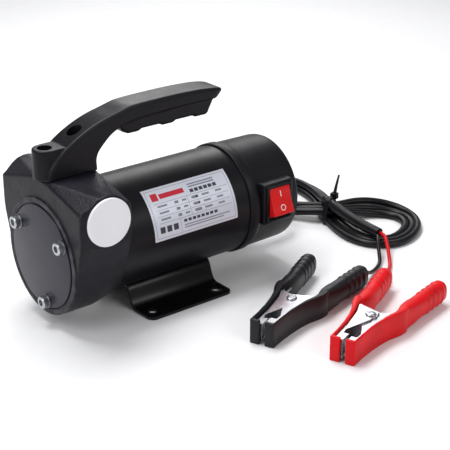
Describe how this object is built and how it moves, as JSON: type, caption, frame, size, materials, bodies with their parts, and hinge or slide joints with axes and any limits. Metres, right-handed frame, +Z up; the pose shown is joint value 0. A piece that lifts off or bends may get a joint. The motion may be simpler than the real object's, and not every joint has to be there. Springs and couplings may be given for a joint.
{
  "type": "fluid transfer pump",
  "caption": "Portable electric vane pump with side ports, carry handle, foot bracket, rocker switch and a tied battery lead ending in spring clamps.",
  "frame": {"origin": "centre of the four foot holes, on the surface the pump stands on", "axes": "+Z up; +X along the motor shaft from the pump head to the switch end; -Y is the side with the switch and the rating plate"},
  "size_m": [0.3765, 0.3296, 0.161],
  "materials": {
    "casting": "rough satin blue-black paint over the casting",
    "cover": "gloss dark indigo paint",
    "seal": "matte",
    "steel": "bright zinc plate",
    "sintered_iron": "machined",
    "carbon": "matte graphite",
    "brass": "machined",
    "white_plastic": "soft matte moulding",
    "black_plastic": "satin moulding",
    "drum_paint": "satin black paint",
    "ferrite": "matte ceramic",
    "copper": "enamelled copper",
    "phenolic": "matte",
    "label_foil": "satin printed foil",
    "rocker_red": "gloss, slightly translucent",
    "cord_black": "satin PVC",
    "red_plastic": "soft PVC"
  },
  "bodies": {
    "pump": {"pump_body": "casting", "cover_plate": "cover", "cover_seal": "seal", "cover_screws": "steel", "cover_washers": "steel", "shaft_seal": "seal", "bypass_spring": "steel", "bypass_retainer": "brass", "carry_handle": "black_plastic", "handle_screws": "steel", "motor_drum": "drum_paint", "field_magnets": "ferrite", "front_bearing": "steel", "brush_plate": "phenolic", "brush_spring_upper": "steel", "brush_spring_lower": "steel", "rear_bearing": "steel", "through_bolts": "steel", "rating_plate": "label_foil", "foot_bracket": "drum_paint", "end_cap": "black_plastic", "cap_screws": "steel", "switch_housing": "black_plastic", "switch_terminals": "brass", "cable_gland": "black_plastic", "supply_lead": "cord_black", "cord_hank": "cord_black", "cable_tie": "black_plastic", "cord_sleeve": "cord_black", "black_wire": "cord_black", "red_wire": "red_plastic", "black_jaw_fixed": "steel", "black_grip_fixed": "black_plastic", "black_rivet": "steel", "black_spring": "steel", "red_jaw_fixed": "steel", "red_grip_fixed": "red_plastic", "red_rivet": "steel", "red_spring": "steel"},
    "rotor": {"pump_rotor": "sintered_iron", "pump_vanes": "carbon", "rotor_key": "steel", "motor_shaft": "steel", "armature_core": "sintered_iron", "armature_windings": "copper", "commutator": "copper"},
    "bypass": {"bypass_poppet": "brass"},
    "rocker": {"switch_rocker": "rocker_red"},
    "outlet_plug": {"outlet_cap": "white_plastic"},
    "inlet_plug": {"inlet_cap": "white_plastic"},
    "upper_brush": {"brush_upper": "carbon"},
    "lower_brush": {"brush_lower": "carbon"},
    "black_lever": {"black_jaw_moving": "steel", "black_grip_moving": "black_plastic"},
    "red_lever": {"red_jaw_moving": "steel", "red_grip_moving": "red_plastic"}
  },
  "joints": [
    {"name": "shaft_spin", "type": "hinge", "parent": "pump", "child": "rotor", "pos_m": [0, 0, 0.06], "axis": [1, 0, 0], "continuous": true},
    {"name": "bypass_lift", "type": "slide", "parent": "pump", "child": "bypass", "axis": [0, 1, 0], "range_m": [0, 0.004], "stiffness_N_per_m": 1500, "springref_m": -0.006, "deforming": ["bypass_spring"]},
    {"name": "rocker_tilt", "type": "hinge", "parent": "pump", "child": "rocker", "pos_m": [0.089, -0.044, 0.065], "axis": [1, 0, 0], "range_deg": [0, 38]},
    {"name": "outlet_cap_pull", "type": "slide", "parent": "pump", "child": "outlet_plug", "axis": [0, -1, 0], "range_m": [0, 0.03]},
    {"name": "inlet_cap_pull", "type": "slide", "parent": "pump", "child": "inlet_plug", "axis": [0, 1, 0], "range_m": [0, 0.03]},
    {"name": "upper_brush_slide", "type": "slide", "parent": "pump", "child": "upper_brush", "axis": [0, 0, 1], "range_m": [0, 0.003], "stiffness_N_per_m": 300, "springref_m": -0.004, "deforming": ["brush_spring_upper"]},
    {"name": "lower_brush_slide", "type": "slide", "parent": "pump", "child": "lower_brush", "axis": [0, 0, -1], "range_m": [0, 0.003], "stiffness_N_per_m": 300, "springref_m": -0.004, "deforming": ["brush_spring_lower"]},
    {"name": "black_clamp_squeeze", "type": "hinge", "parent": "pump", "child": "black_lever", "pos_m": [0.046, -0.113, 0.01], "axis": [0, 0, -1], "range_deg": [0, 18], "stiffness_Nm_per_rad": 1.5, "springref_deg": -20.05, "deforming": ["black_spring"]},
    {"name": "red_clamp_squeeze", "type": "hinge", "parent": "pump", "child": "red_lever", "pos_m": [0.074, -0.17, 0.01], "axis": [0, 0, 1], "range_deg": [0, 18], "stiffness_Nm_per_rad": 1.5, "springref_deg": -20.05, "deforming": ["red_spring"]}
  ]
}
